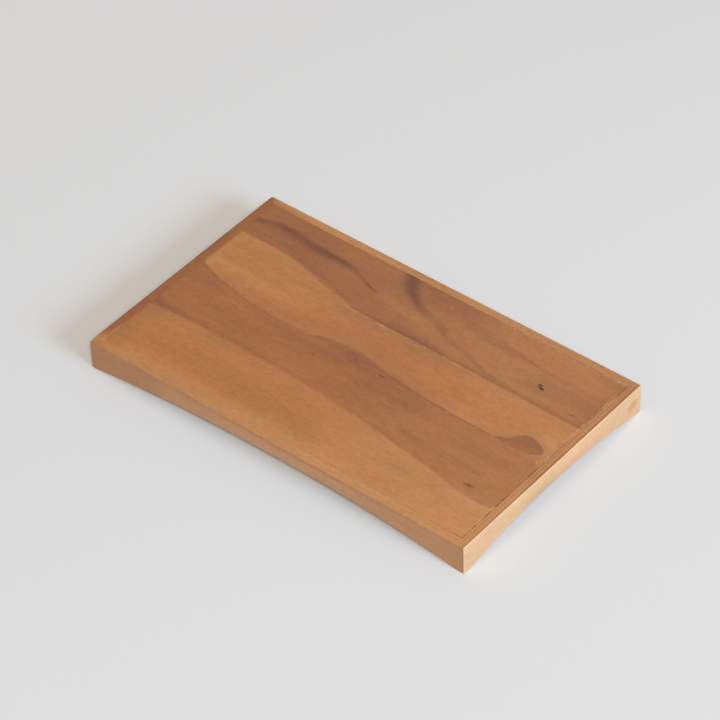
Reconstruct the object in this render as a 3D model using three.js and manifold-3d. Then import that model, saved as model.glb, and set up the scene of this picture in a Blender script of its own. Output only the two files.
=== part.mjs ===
// A flat wooden serving tray, in millimetres, +Z up.
// Three boards glued edge to edge make the panel, and four mitred rails frame it, flush with its top.
// A tongue round the panel sits in a groove round the rails, and a hidden spline keys each mitre.
// Each rail is arched underneath, so the tray stands on its four corners and fingers reach under it.
// The origin is at the middle of the tray, on the surface that it stands on.
import * as THREE from "three";
import { mergeVertices } from "three/addons/utils/BufferGeometryUtils.js";
import Module from "manifold-3d";

// The whole tray
const TRAY_LENGTH = 300;
const TRAY_WIDTH = 180;
const TRAY_HEIGHT = 22;

// The rails
const RAIL_THICKNESS = 6;
const FOOT_LENGTH = 4; // flat left under each end of a rail
const LONG_ARCH_RISE = 10.4;
const SHORT_ARCH_RISE = 8.6;
const ARRIS_RADIUS = 1; // outer top edge
const CORNER_RADIUS = 1; // upright corners of the frame
const WORN_CORNER_RADIUS = 3; // the front left one, rubbed rounder than the others
const MITRE_GLUE = 0.2; // gap across each mitre

// The panel
const PANEL_THICKNESS = 8;
const BACK_BOARD_WIDTH = 48;
const MIDDLE_BOARD_WIDTH = 38; // the front board takes the rest
const BOARD_GLUE = 0.1; // gap between two boards
const PANEL_SEAM = 0.3; // gap between the panel and the rails

// The tongue round the panel and its groove in the rails
const TONGUE_THICKNESS = 3;
const TONGUE_LENGTH = 2.7; // how far it enters a rail
const TONGUE_COVER = 2.5; // wood above it
const TONGUE_CLEARANCE = 0.15;

// The splines across the mitres
const SPLINE_THICKNESS = 2;
const SPLINE_WIDTH = 4.2; // across the mitre, half in each rail
const SPLINE_INNER_COVER = 1.6; // wood between it and the inner corner, along the mitre
const SPLINE_FOOT_COVER = 2; // wood under it
const SPLINE_TOP_COVER = 1; // wood between it and the groove
const SPLINE_CLEARANCE = 0.15;

// Steps in a quarter of an arc's drawing, and how far a cutter runs past what it cuts
const ARC_STEPS = 12;
const OVERRUN = 1;

// Places that more than one piece takes
const tongueTop = TRAY_HEIGHT - TONGUE_COVER;
const tongueBottom = tongueTop - TONGUE_THICKNESS;
const grooveBottom = tongueBottom - TONGUE_CLEARANCE;
const splineBottom = SPLINE_FOOT_COVER;
const splineTop = grooveBottom - SPLINE_TOP_COVER;
const panelHalfLength = TRAY_LENGTH / 2 - RAIL_THICKNESS - PANEL_SEAM;
const panelHalfWidth = TRAY_WIDTH / 2 - RAIL_THICKNESS - PANEL_SEAM;

const X = new THREE.Vector3(1, 0, 0);
const Y = new THREE.Vector3(0, 1, 0);
const Z = new THREE.Vector3(0, 0, 1);

const wasm = await Module();
wasm.setup();

// A closed geometry as a solid that can be joined and cut
function toSolid(geometry) {
  const bare = geometry.clone();
  bare.deleteAttribute("normal");
  bare.deleteAttribute("uv");
  const merged = mergeVertices(bare);
  return new wasm.Manifold(
    new wasm.Mesh({
      numProp: 3,
      vertProperties: merged.attributes.position.array,
      triVerts: new Uint32Array(merged.index.array),
    }),
  );
}

// A solid as a geometry with flat faces
function toGeometry(solid) {
  const { vertProperties, triVerts } = solid.getMesh();
  const shared = new THREE.BufferGeometry();
  shared.setAttribute("position", new THREE.BufferAttribute(vertProperties, 3));
  shared.setIndex(new THREE.BufferAttribute(triVerts, 1));
  const flat = shared.toNonIndexed();
  flat.computeVertexNormals();
  return flat;
}

// A prism of a shape drawn on two axes, from one place to another along the third
function prism(shape, right, up, from, to) {
  const geometry = new THREE.ExtrudeGeometry(shape, {
    depth: to - from,
    curveSegments: ARC_STEPS,
    bevelEnabled: false,
  });
  geometry.translate(0, 0, from);
  const along = new THREE.Vector3().crossVectors(right, up);
  return toSolid(geometry.applyMatrix4(new THREE.Matrix4().makeBasis(right, up, along)));
}

// A rail is made in its own frame: x along it, y inwards from its outer face, z up.
// Its section has the groove in its inner face and an eased outer arris.
function railSection(length) {
  const grooveTop = tongueTop + TONGUE_CLEARANCE;
  const grooveFloor = RAIL_THICKNESS - TONGUE_LENGTH - TONGUE_CLEARANCE;
  const section = new THREE.Shape();
  section.moveTo(0, 0);
  section.lineTo(RAIL_THICKNESS, 0);
  section.lineTo(RAIL_THICKNESS, grooveBottom);
  section.lineTo(grooveFloor, grooveBottom);
  section.lineTo(grooveFloor, grooveTop);
  section.lineTo(RAIL_THICKNESS, grooveTop);
  section.lineTo(RAIL_THICKNESS, TRAY_HEIGHT);
  section.absarc(ARRIS_RADIUS, TRAY_HEIGHT - ARRIS_RADIUS, ARRIS_RADIUS, Math.PI / 2, Math.PI);
  return prism(section, Y, Z, -length / 2 - OVERRUN, length / 2 + OVERRUN);
}

// Its outline from above has a mitre at each end and half of the frame's rounded corner at each tip.
function mitredPlan(length, startRadius, endRadius) {
  const tip = length / 2;
  const glueAlong = MITRE_GLUE * Math.SQRT1_2;
  const shoulder = tip - glueAlong - RAIL_THICKNESS;
  const turn = (radius) => Math.PI / 4 - Math.asin((glueAlong * Math.SQRT1_2) / radius);
  const outward = -Math.PI / 2;
  const plan = new THREE.Shape();
  plan.absarc(tip - endRadius, endRadius, endRadius, outward, outward + turn(endRadius));
  plan.lineTo(shoulder, RAIL_THICKNESS);
  plan.lineTo(-shoulder, RAIL_THICKNESS);
  plan.absarc(startRadius - tip, startRadius, startRadius, outward - turn(startRadius), outward);
  return prism(plan, X, Y, -OVERRUN, TRAY_HEIGHT + OVERRUN);
}

// The arch under it springs from the two feet.
function archCutter(length, rise) {
  const halfSpan = length / 2 - FOOT_LENGTH;
  const radius = (halfSpan ** 2 + rise ** 2) / (2 * rise);
  const halfAngle = Math.asin(halfSpan / radius);
  const arch = new THREE.Shape();
  arch.moveTo(-halfSpan, -OVERRUN);
  arch.lineTo(halfSpan, -OVERRUN);
  arch.absarc(0, rise - radius, radius, Math.PI / 2 - halfAngle, Math.PI / 2 + halfAngle);
  return prism(arch, X, Z, -RAIL_THICKNESS - OVERRUN, OVERRUN);
}

// A spline lies in its corner's frame: the inner corner of the rails, with x out along the mitre.
function splineBox(clearance) {
  const height = splineTop - splineBottom;
  return new THREE.BoxGeometry(
    SPLINE_THICKNESS + 2 * clearance,
    SPLINE_WIDTH + 2 * clearance,
    height + 2 * clearance,
  ).translate(SPLINE_INNER_COVER + SPLINE_THICKNESS / 2, 0, splineBottom + height / 2);
}

// The slot for a spline, in the rail's frame, at its start (side -1) or its end (side 1)
function splineSlot(length, side) {
  const slot = splineBox(SPLINE_CLEARANCE);
  slot.rotateZ(Math.atan2(-1, side));
  slot.translate(side * (length / 2 - RAIL_THICKNESS), RAIL_THICKNESS, 0);
  return toSolid(slot);
}

function railGeometry(length, rise, startRadius, endRadius) {
  const rail = railSection(length)
    .intersect(mitredPlan(length, startRadius, endRadius))
    .subtract(archCutter(length, rise))
    .subtract(splineSlot(length, -1))
    .subtract(splineSlot(length, 1));
  return toGeometry(rail);
}

// A board from its front edge to its back edge, with the tongue at both ends and on the edges that
// meet a rail
function boardGeometry(frontEdge, backEdge, frontTongue, backTongue) {
  const core = new THREE.BoxGeometry(2 * panelHalfLength, backEdge - frontEdge, PANEL_THICKNESS);
  core.translate(0, (frontEdge + backEdge) / 2, TRAY_HEIGHT - PANEL_THICKNESS / 2);
  const reach = PANEL_SEAM + TONGUE_LENGTH;
  const tongueFront = frontEdge - (frontTongue ? reach : 0);
  const tongueBack = backEdge + (backTongue ? reach : 0);
  const tongue = new THREE.BoxGeometry(
    2 * (panelHalfLength + reach),
    tongueBack - tongueFront,
    TONGUE_THICKNESS,
  );
  tongue.translate(0, (tongueFront + tongueBack) / 2, (tongueBottom + tongueTop) / 2);
  return toGeometry(toSolid(core).add(toSolid(tongue)));
}

function woodMesh(name, geometry, color) {
  const wood = new THREE.MeshStandardMaterial({ color, roughness: 0.45, metalness: 0 });
  const mesh = new THREE.Mesh(geometry, wood);
  mesh.name = name;
  return mesh;
}

const tray = new THREE.Group();

// The boards, from the back to the front
const middleBack = panelHalfWidth - BACK_BOARD_WIDTH - BOARD_GLUE;
const middleFront = middleBack - MIDDLE_BOARD_WIDTH;
const frontBack = middleFront - BOARD_GLUE;
tray.add(
  woodMesh("back_board", boardGeometry(middleBack + BOARD_GLUE, panelHalfWidth, false, true), 0x9a6543),
  woodMesh("middle_board", boardGeometry(middleFront, middleBack, false, false), 0xb88050),
  woodMesh("front_board", boardGeometry(-panelHalfWidth, frontBack, true, false), 0xac7549),
);

// The rails, each turned so that its inner face looks at the panel
const rails = [
  {
    name: "front_rail",
    length: TRAY_LENGTH,
    rise: LONG_ARCH_RISE,
    radii: [WORN_CORNER_RADIUS, CORNER_RADIUS],
    place: [0, -TRAY_WIDTH / 2],
    turn: 0,
    color: 0xba8050,
  },
  {
    name: "right_rail",
    length: TRAY_WIDTH,
    rise: SHORT_ARCH_RISE,
    radii: [CORNER_RADIUS, CORNER_RADIUS],
    place: [TRAY_LENGTH / 2, 0],
    turn: Math.PI / 2,
    color: 0xb97f4f,
  },
  {
    name: "back_rail",
    length: TRAY_LENGTH,
    rise: LONG_ARCH_RISE,
    radii: [CORNER_RADIUS, CORNER_RADIUS],
    place: [0, TRAY_WIDTH / 2],
    turn: Math.PI,
    color: 0xb87e4c,
  },
  {
    name: "left_rail",
    length: TRAY_WIDTH,
    rise: SHORT_ARCH_RISE,
    radii: [CORNER_RADIUS, WORN_CORNER_RADIUS],
    place: [-TRAY_LENGTH / 2, 0],
    turn: -Math.PI / 2,
    color: 0x9c6440,
  },
];
for (const { name, length, rise, radii, place, turn, color } of rails) {
  const rail = woodMesh(name, railGeometry(length, rise, ...radii), color);
  rail.position.set(...place, 0);
  rail.rotation.z = turn;
  tray.add(rail);
}

// The splines, each in a group that stands at an inner corner of the rails and points out of it
const corners = [
  { name: "front_left", x: -1, y: -1 },
  { name: "front_right", x: 1, y: -1 },
  { name: "back_right", x: 1, y: 1 },
  { name: "back_left", x: -1, y: 1 },
];
for (const { name, x, y } of corners) {
  const corner = new THREE.Group();
  corner.position.set(
    x * (TRAY_LENGTH / 2 - RAIL_THICKNESS),
    y * (TRAY_WIDTH / 2 - RAIL_THICKNESS),
    0,
  );
  corner.rotation.z = Math.atan2(y, x);
  corner.add(woodMesh(`${name}_spline`, splineBox(0), 0x8a5a3a));
  tray.add(corner);
}

export default tray;
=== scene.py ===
import math

import bmesh
import bpy
from mathutils import Color, Matrix, Vector


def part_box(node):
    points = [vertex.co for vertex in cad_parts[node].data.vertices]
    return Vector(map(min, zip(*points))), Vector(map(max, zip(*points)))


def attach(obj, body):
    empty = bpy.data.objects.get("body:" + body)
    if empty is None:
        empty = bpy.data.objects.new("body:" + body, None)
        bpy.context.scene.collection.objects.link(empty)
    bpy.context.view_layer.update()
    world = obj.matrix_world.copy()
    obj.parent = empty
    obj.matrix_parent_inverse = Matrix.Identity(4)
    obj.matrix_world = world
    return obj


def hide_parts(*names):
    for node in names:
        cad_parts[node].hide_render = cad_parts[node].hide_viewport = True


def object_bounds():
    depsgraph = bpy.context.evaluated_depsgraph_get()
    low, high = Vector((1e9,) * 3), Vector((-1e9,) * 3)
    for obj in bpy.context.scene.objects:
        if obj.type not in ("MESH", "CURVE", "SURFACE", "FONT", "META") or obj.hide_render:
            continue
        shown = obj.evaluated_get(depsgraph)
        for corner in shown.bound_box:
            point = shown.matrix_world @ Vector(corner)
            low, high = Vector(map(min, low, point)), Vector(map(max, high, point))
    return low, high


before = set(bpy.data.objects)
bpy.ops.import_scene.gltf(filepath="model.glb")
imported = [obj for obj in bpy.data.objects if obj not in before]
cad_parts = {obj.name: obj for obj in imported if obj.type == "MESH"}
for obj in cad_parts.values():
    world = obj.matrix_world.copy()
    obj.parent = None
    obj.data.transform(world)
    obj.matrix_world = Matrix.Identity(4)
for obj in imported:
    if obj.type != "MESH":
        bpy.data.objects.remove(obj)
cad_low, cad_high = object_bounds()


# The back board of the panel: reddish heartwood with two smoky streaks and some sapwood at its front left.
# It is planed flat and glued to the middle board, and a tongue on its other three sides sits loose in the
# groove of the rails. The oil that finishes the tray leaves it satin.
MILLIMETRE = 0.001
TONGUE_REACH = 3.0 * MILLIMETRE
TONGUE_COVER = 2.5 * MILLIMETRE
TONGUE_THICKNESS = 3.0 * MILLIMETRE
BOARD_ARRIS = 0.05 * MILLIMETRE
SEAM_CLOSING = 0.27 * MILLIMETRE
GLUE_CLOSING = 0.045 * MILLIMETRE
TOUCHING = 0.001 * MILLIMETRE
SHARP_ANGLE = math.radians(50)
ROUGHLY = 0.9
SQUARELY = 0.99
LEFT = Vector((-1, 0, 0))
RIGHT = Vector((1, 0, 0))
FRONT = Vector((0, -1, 0))
BACK = Vector((0, 1, 0))
UP = Vector((0, 0, 1))
DOWN = Vector((0, 0, -1))


def looking(mesh, way):
    """The faces of a piece that look squarely one way."""
    return [face for face in mesh.faces if face.normal.dot(way) > SQUARELY]


def edges_between(mesh, first, second):
    """The edges where a face that looks roughly one way meets a face that looks roughly another way."""
    found = []
    for edge in mesh.edges:
        normals = [face.normal for face in edge.link_faces]
        meets_first = any(normal.dot(first) > ROUGHLY for normal in normals)
        meets_second = any(normal.dot(second) > ROUGHLY for normal in normals)
        if meets_first and meets_second:
            found.append(edge)
    return found


def ease(mesh, edges, radius, segments):
    """Round edges over, as sandpaper or a rounding plane does."""
    bmesh.ops.bevel(mesh, geom=edges, offset=radius, offset_type="OFFSET", affect="EDGES", segments=segments,
                    profile=0.5, material=-1)
    mesh.normal_update()


def score(mesh, faces, point, normal):
    """Cut a straight line into faces where a plane crosses them."""
    parts = dict.fromkeys(faces)
    for face in faces:
        parts.update(dict.fromkeys([*face.verts, *face.edges]))
    bmesh.ops.bisect_plane(mesh, geom=list(parts), dist=TOUCHING, plane_co=point, plane_no=normal)
    mesh.normal_update()


def pull(mesh, faces, move):
    """Pull faces out of a piece, or push them into it, with new walls behind them."""
    grown = bmesh.ops.extrude_face_region(mesh, geom=faces)["geom"]
    corners = [part for part in grown if isinstance(part, bmesh.types.BMVert)]
    bmesh.ops.translate(mesh, vec=move, verts=corners)
    left_behind = [face for face in faces if face.is_valid]
    bmesh.ops.delete(mesh, geom=left_behind, context="FACES")
    mesh.normal_update()


def band_between(mesh, way, low, high):
    """Score the faces that look one way at two heights, and find the band of faces between them."""
    for height in (low, high):
        score(mesh, looking(mesh, way), UP * height, UP)
    return [face for face in looking(mesh, way) if low < face.calc_center_median().z < high]


def planed_board(node, tongued, glued):
    """A board as it comes from the plane, in its place, with a tongue out of each side that meets a rail."""
    low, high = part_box(node)
    tongue = TONGUE_REACH - SEAM_CLOSING
    for side, growth in [(side, -tongue) for side in tongued] + [(side, GLUE_CLOSING) for side in glued]:
        if sum(side) < 0:
            low = low + side * growth
        else:
            high = high + side * growth
    board = bmesh.new()
    bmesh.ops.create_cube(board, size=1)
    bmesh.ops.scale(board, vec=high - low, verts=board.verts)
    bmesh.ops.translate(board, vec=(high + low) / 2, verts=board.verts)
    board.normal_update()
    arrises = []
    for side in tongued:
        arrises += edges_between(board, side, UP) + edges_between(board, side, DOWN)
    ease(board, arrises, BOARD_ARRIS, segments=2)
    tongue_top = high.z - TONGUE_COVER
    tongue_bottom = tongue_top - TONGUE_THICKNESS
    for side in tongued:
        band = band_between(board, side, tongue_bottom, tongue_top)
        pull(board, band, side * tongue)
    return board


def finished(name, mesh, material):
    """Make an object of a piece's mesh: flat faces shade flat, and rounded edges shade round."""
    bmesh.ops.recalc_face_normals(mesh, faces=mesh.faces)
    for face in mesh.faces:
        face.smooth = True
    data = bpy.data.meshes.new(name)
    mesh.to_mesh(data)
    mesh.free()
    data.set_sharp_from_angle(angle=SHARP_ANGLE)
    data.materials.append(material)
    piece = bpy.data.objects.new(name, data)
    bpy.context.scene.collection.objects.link(piece)
    shading = piece.modifiers.new("Flat faces shade flat", "WEIGHTED_NORMAL")
    shading.keep_sharp = True
    return piece


def paint(red, green, blue):
    """A tone given as screen values from 0 to 255, as the linear colour that a socket takes."""
    screen = Color((red / 255, green / 255, blue / 255))
    return (*screen.from_srgb_to_scene_linear(), 1.0)


def add(tree, kind, feeds=None, **settings):
    """Place a shader node, set it up, and feed its sockets with values or with other nodes' outputs."""
    made = tree.nodes.new("ShaderNode" + kind)
    for name, value in settings.items():
        setattr(made, name, value)
    for key, value in (feeds or {}).items():
        if isinstance(value, bpy.types.NodeSocket):
            tree.links.new(value, made.inputs[key])
        else:
            made.inputs[key].default_value = value
    return made


def sums(tree, operation, *values):
    """One sum on values or on other nodes' outputs."""
    return add(tree, "Math", dict(enumerate(values)), operation=operation).outputs[0]


def fade(tree, value, start, end, low=0.0, high=1.0):
    """A smooth step of a value, from low at the start to high at the end."""
    feeds = {"Value": value, "From Min": start, "From Max": end, "To Min": low, "To Max": high}
    return add(tree, "MapRange", feeds, interpolation_type="SMOOTHSTEP").outputs[0]


def lay(tree, amount, under, over):
    """Lay one colour over another by an amount from 0 to 1."""
    return add(tree, "Mix", {0: amount, 6: under, 7: over}, data_type="RGBA").outputs[2]


def traced(tree, along, points):
    """A smooth line through a few points, each a place in millimetres and a height, read at a place.

    A plain number instead of a list of points is a height that stays the same.
    """
    if not isinstance(points, list):
        return points
    heights = [height for place, height in points]
    low = min(heights)
    rise = max(heights) - low
    start = points[0][0]
    length = points[-1][0] - start
    share = add(tree, "MapRange", {"Value": along, "From Min": start, "From Max": start + length}).outputs[0]
    curve = add(tree, "FloatCurve", {"Value": share})
    knots = curve.mapping.curves[0].points
    knots[0].location = (0.0, (heights[0] - low) / rise)
    knots[1].location = (1.0, (heights[-1] - low) / rise)
    for place, height in points[1:-1]:
        knots.new((place - start) / length, (height - low) / rise)
    curve.mapping.update()
    return add(tree, "MapRange", {"Value": curve.outputs[0], "To Min": low, "To Max": low + rise}).outputs[0]


def axis(tree, point, letter):
    """How far a point lies along one axis."""
    return add(tree, "SeparateXYZ", {0: point}).outputs[letter]


def effect(name, takes, gives):
    """An empty node group with named sockets, and its own ends to work between."""
    tree = bpy.data.node_groups.new(name, "ShaderNodeTree")
    for socket, kind in takes.items():
        tree.interface.new_socket(socket, in_out="INPUT", socket_type="NodeSocket" + kind)
    for socket, kind in gives.items():
        tree.interface.new_socket(socket, in_out="OUTPUT", socket_type="NodeSocket" + kind)
    return tree, tree.nodes.new("NodeGroupInput").outputs, tree.nodes.new("NodeGroupOutput").inputs


def stretched_noise(tree, point, stretch, detail, roughness=0.5):
    """Noise drawn out along the grain. The stretch is its waves to the millimetre, each way."""
    drawn_out = add(tree, "VectorMath", {0: point, 1: stretch}, operation="MULTIPLY").outputs[0]
    feeds = {"Vector": drawn_out, "Scale": 1.0, "Detail": detail, "Roughness": roughness}
    return add(tree, "TexNoise", feeds).outputs[0]


TOP_OF_PANEL = cad_high.z / MILLIMETRE
DRIFT_STRETCH = (0.05, 0.16, 0.16)
FIBRE_STRETCH = (0.06, 0.55, 0.55)
KNOT_STRETCH = (0.4, 0.9, 0.9)
PORE_STRETCH = (0.6, 2.2, 2.2)
CRUMB_STRETCH = (0.25, 0.25, 0.25)
CHIP_STRETCH = (0.35, 0.35, 0.35)
FAR_OFF = (70, 90, 50)

tree, taken, given = effect(
    "Drifting Figure", {"Point": "Vector", "Lean": "Float", "Wander": "Float"},
    {"Along": "Float", "Across": "Float"})
wave = stretched_noise(tree, taken["Point"], DRIFT_STRETCH, detail=3.0)
swing = sums(tree, "MULTIPLY", sums(tree, "SUBTRACT", wave, 0.5), taken["Wander"])
depth = sums(tree, "SUBTRACT", axis(tree, taken["Point"], "Z"), TOP_OF_PANEL)
slant = sums(tree, "MULTIPLY", depth, taken["Lean"])
swung = sums(tree, "ADD", axis(tree, taken["Point"], "Y"), swing)
leaning = sums(tree, "ADD", swung, slant)
tree.links.new(axis(tree, taken["Point"], "X"), given["Along"])
tree.links.new(leaning, given["Across"])
drifting_figure = tree

tree, taken, given = effect(
    "Sapwood Edge", {"Across": "Float", "Edge": "Float", "Softness": "Float"}, {"Behind": "Float"})
reach = sums(tree, "SUBTRACT", taken["Across"], taken["Edge"])
share = sums(tree, "DIVIDE", reach, taken["Softness"])
tree.links.new(fade(tree, share, -0.5, 0.5), given["Behind"])
sapwood_edge = tree

tree, taken, given = effect(
    "Smoky Streak",
    {"Point": "Vector", "Across": "Float", "Centre": "Float", "Above": "Float", "Below": "Float",
     "Strength": "Float"},
    {"Mask": "Float"})
reach = sums(tree, "SUBTRACT", taken["Across"], taken["Centre"])
upwards = sums(tree, "DIVIDE", reach, taken["Above"])
downwards = sums(tree, "DIVIDE", sums(tree, "MULTIPLY", reach, -1.0), taken["Below"])
outwards = sums(tree, "MAXIMUM", upwards, downwards)
body = fade(tree, outwards, 0.0, 1.0, low=1.0, high=0.0)
fibres = stretched_noise(tree, taken["Point"], FIBRE_STRETCH, detail=3.0)
streaky = fade(tree, fibres, 0.25, 0.75, low=0.85, high=1.12)
strength = sums(tree, "MULTIPLY", taken["Strength"], streaky)
tree.links.new(sums(tree, "MULTIPLY", body, strength), given["Mask"])
smoky_streak = tree

tree, taken, given = effect(
    "Wood Knot",
    {"Point": "Vector", "Centre": "Vector", "Half Size": "Vector", "Tilt": "Float", "Ragged": "Float"},
    {"Mask": "Float"})
feeds = {0: taken["Point"], 1: taken["Centre"]}
offset = add(tree, "VectorMath", feeds, operation="SUBTRACT").outputs[0]
feeds = {"Vector": offset, "Angle": taken["Tilt"]}
turned = add(tree, "VectorRotate", feeds, rotation_type="Z_AXIS").outputs[0]
scaled = add(tree, "VectorMath", {0: turned, 1: taken["Half Size"]}, operation="DIVIDE").outputs[0]
reach = add(tree, "VectorMath", {0: scaled}, operation="LENGTH").outputs["Value"]
uneven = stretched_noise(tree, taken["Point"], KNOT_STRETCH, detail=2.0)
swing = sums(tree, "MULTIPLY", sums(tree, "SUBTRACT", uneven, 0.5), taken["Ragged"])
outwards = sums(tree, "ADD", reach, swing)
tree.links.new(fade(tree, outwards, 0.4, 1.0, low=1.0, high=0.0), given["Mask"])
wood_knot = tree

tree, taken, given = effect(
    "Straight Grain", {"Point": "Vector"},
    {"Clouds": "Float", "Warmth": "Float", "Lines": "Float", "Mottle": "Float", "Pores": "Float"})
feeds = {0: taken["Point"], 1: FAR_OFF}
far_point = add(tree, "VectorMath", feeds, operation="ADD").outputs[0]
for socket, place, stretch, detail, roughness in (
        ("Clouds", taken["Point"], (0.022, 0.06, 0.06), 3.0, 0.55),
        ("Warmth", far_point, (0.025, 0.05, 0.05), 1.0, 0.5),
        ("Lines", taken["Point"], (0.07, 0.5, 0.5), 3.0, 0.6),
        ("Mottle", far_point, (0.28, 0.48, 0.48), 3.0, 0.58)):
    noise = stretched_noise(tree, place, stretch, detail, roughness)
    tree.links.new(noise, given[socket])
pores = stretched_noise(tree, taken["Point"], PORE_STRETCH, detail=1.0)
tree.links.new(fade(tree, pores, 0.58, 0.74), given["Pores"])
straight_grain = tree

# A seam's pale chips are partly painted glints, where the edges of the seam catch the light.
tree, taken, given = effect(
    "Ragged Seam", {"Point": "Vector", "Distance": "Float", "Gapping": "Float", "Chipping And Glints": "Float"},
    {"Gap": "Float", "Chips And Glints": "Float"})
crumbled = stretched_noise(tree, taken["Point"], CRUMB_STRETCH, detail=3.0, roughness=0.7)
width = fade(tree, crumbled, 0.3, 0.7, low=0.1, high=0.9)
outwards = sums(tree, "SUBTRACT", taken["Distance"], width)
gap = fade(tree, outwards, -0.4, 0.4, low=1.0, high=0.0)
tree.links.new(sums(tree, "MULTIPLY", gap, taken["Gapping"]), given["Gap"])
patches = stretched_noise(tree, taken["Point"], CHIP_STRETCH, detail=2.0, roughness=0.6)
broken = fade(tree, sums(tree, "ADD", patches, taken["Chipping And Glints"]), 0.95, 1.15)
inner = fade(tree, outwards, -0.5, 0.1)
outer = fade(tree, outwards, 0.4, 1.1, low=1.0, high=0.0)
chip_and_glint_mask = sums(tree, "MULTIPLY", broken, sums(tree, "MULTIPLY", inner, outer))
tree.links.new(chip_and_glint_mask, given["Chips And Glints"])
ragged_seam = tree


def new_wood(name, to_piece=Matrix.Identity(4)):
    """Start a wood material, with the place on the piece in millimetres and x along the grain."""
    material = bpy.data.materials.new(name)
    material.use_nodes = True
    tree = material.node_tree
    tree.nodes.clear()
    scale = 1 / MILLIMETRE
    feeds = {"Vector": add(tree, "TexCoord").outputs["Object"], "Location": to_piece.translation * scale,
             "Rotation": to_piece.to_euler(), "Scale": (scale, scale, scale)}
    return material, tree, add(tree, "Mapping", feeds).outputs[0]


def figure_of(tree, point, lean, wander):
    """Where a point lies along and across a board's figure, which drifts and leans through the thickness."""
    feeds = {"Point": point, "Lean": lean, "Wander": wander}
    figure = add(tree, "Group", feeds, node_tree=drifting_figure).outputs
    return figure["Along"], figure["Across"]


def behind(tree, across, edge, softness):
    """How far a place is behind an edge between sapwood and heartwood, from 0 to 1."""
    feeds = {"Across": across, "Edge": edge, "Softness": softness}
    return add(tree, "Group", feeds, node_tree=sapwood_edge).outputs[0]


def smoke(tree, point, figure, colour, *streaks):
    """Lay smoky streaks over a colour, one after another.

    Each has a tone, a reach above and below its line, the line itself and a strength along it.
    """
    along, across = figure
    for tone, above, below, line, strength in streaks:
        feeds = {"Point": point, "Across": across, "Centre": traced(tree, along, line),
                 "Above": traced(tree, along, above), "Below": traced(tree, along, below),
                 "Strength": traced(tree, along, strength)}
        mask = add(tree, "Group", feeds, node_tree=smoky_streak).outputs[0]
        colour = lay(tree, mask, colour, tone)
    return colour


KNOT_DEPTH = 6.0
KNOT_RAGGEDNESS = 0.9


def mark(tree, point, colour, *marks):
    """Lay knots, dark marks and pale scratches, all of them uneven ovals, over a colour.

    Each has a tone, a place, half its length and width, a strength and a tilt in degrees.
    """
    for tone, place, half_length, half_width, strength, tilt in marks:
        feeds = {"Point": point, "Centre": (*place, TOP_OF_PANEL), "Tilt": math.radians(tilt),
                 "Half Size": (half_length, half_width, KNOT_DEPTH), "Ragged": KNOT_RAGGEDNESS}
        mask = add(tree, "Group", feeds, node_tree=wood_knot).outputs[0]
        colour = lay(tree, sums(tree, "MULTIPLY", mask, strength), colour, tone)
    return colour


def worn_seam(tree, point, colour, seam, towards, beside, gapping, chipping_and_glints):
    """Lay a dark uneven gap and pale chips, partly painted glints, over a colour, close to a seam with
    another piece.

    The seam lies at one place on the way towards it. Its wear and glints change beside it, along its length.
    """
    feeds = {"Point": point, "Distance": sums(tree, "SUBTRACT", seam, towards),
             "Gapping": traced(tree, beside, gapping), "Chipping And Glints": traced(tree, beside, chipping_and_glints)}
    worn = add(tree, "Group", feeds, node_tree=ragged_seam).outputs
    return lay(tree, worn["Chips And Glints"], lay(tree, worn["Gap"], colour, GAP), PALE_CHIP_AND_GLINT)


def shaded_end(tree, along, colour, fades_out, strength):
    """Lay painted shade, brown, over a board's left end, where it meets the left rail."""
    return lay(tree, fade(tree, along, SHADED_END, fades_out, low=strength, high=0.0), colour, END_SHADE_BROWN)


GRAIN_WARM = (1.02, 0.99, 0.99, 1)
GRAIN_COOL = (0.985, 1.005, 0.985, 1)
CLOUD_DARK = 0.907
CLOUD_PALE = 1.034
PORE_DARK = 0.91
PORE_DULLNESS = 0.15
SATIN_SPREAD = 0.04
LINE_RELIEF = 0.5
GRAIN_RELIEF = 0.02 * MILLIMETRE
RELIEF_STRENGTH = 0.25
OIL_IOR = 1.48


def oiled(tree, colour, point, cut_from, roughness=0.42, lines=0.04, mottle=0.09):
    """Add the fine grain to a wood's colours, from the place in it that a piece is cut from, and the oil."""
    moved = add(tree, "VectorMath", {0: point, 1: cut_from}, operation="ADD").outputs[0]
    grain = add(tree, "Group", {"Point": moved}, node_tree=straight_grain).outputs
    tint = lay(tree, fade(tree, grain["Warmth"], 0.3, 0.7), GRAIN_WARM, GRAIN_COOL)
    tinted = add(tree, "VectorMath", {0: colour, 1: tint}, operation="MULTIPLY").outputs[0]
    cloudy = fade(tree, grain["Clouds"], 0.25, 0.75, low=CLOUD_DARK, high=CLOUD_PALE)
    lined = fade(tree, grain["Lines"], 0.2, 0.8, low=1 - lines, high=1 + lines)
    mottled = fade(tree, grain["Mottle"], 0.2, 0.8, low=1 - mottle, high=1 + mottle)
    porous = fade(tree, grain["Pores"], 0.0, 1.0, low=1.0, high=PORE_DARK)
    light = sums(tree, "MULTIPLY", sums(tree, "MULTIPLY", cloudy, lined),
                 sums(tree, "MULTIPLY", mottled, porous))
    shaded = add(tree, "VectorMath", {0: tinted, "Scale": light}, operation="SCALE").outputs[0]
    satin = fade(tree, grain["Lines"], 0.25, 0.75,
                 low=roughness - SATIN_SPREAD, high=roughness + SATIN_SPREAD)
    rough = sums(tree, "ADD", satin, sums(tree, "MULTIPLY", grain["Pores"], PORE_DULLNESS))
    relief = sums(tree, "SUBTRACT", sums(tree, "MULTIPLY", grain["Lines"], LINE_RELIEF), grain["Pores"])
    feeds = {"Height": relief, "Strength": RELIEF_STRENGTH, "Distance": GRAIN_RELIEF}
    bump = add(tree, "Bump", feeds).outputs[0]
    feeds = {"Base Color": shaded, "Roughness": rough, "Normal": bump, "IOR": OIL_IOR}
    shader = add(tree, "BsdfPrincipled", feeds)
    add(tree, "OutputMaterial", {"Surface": shader.outputs[0]})


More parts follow.
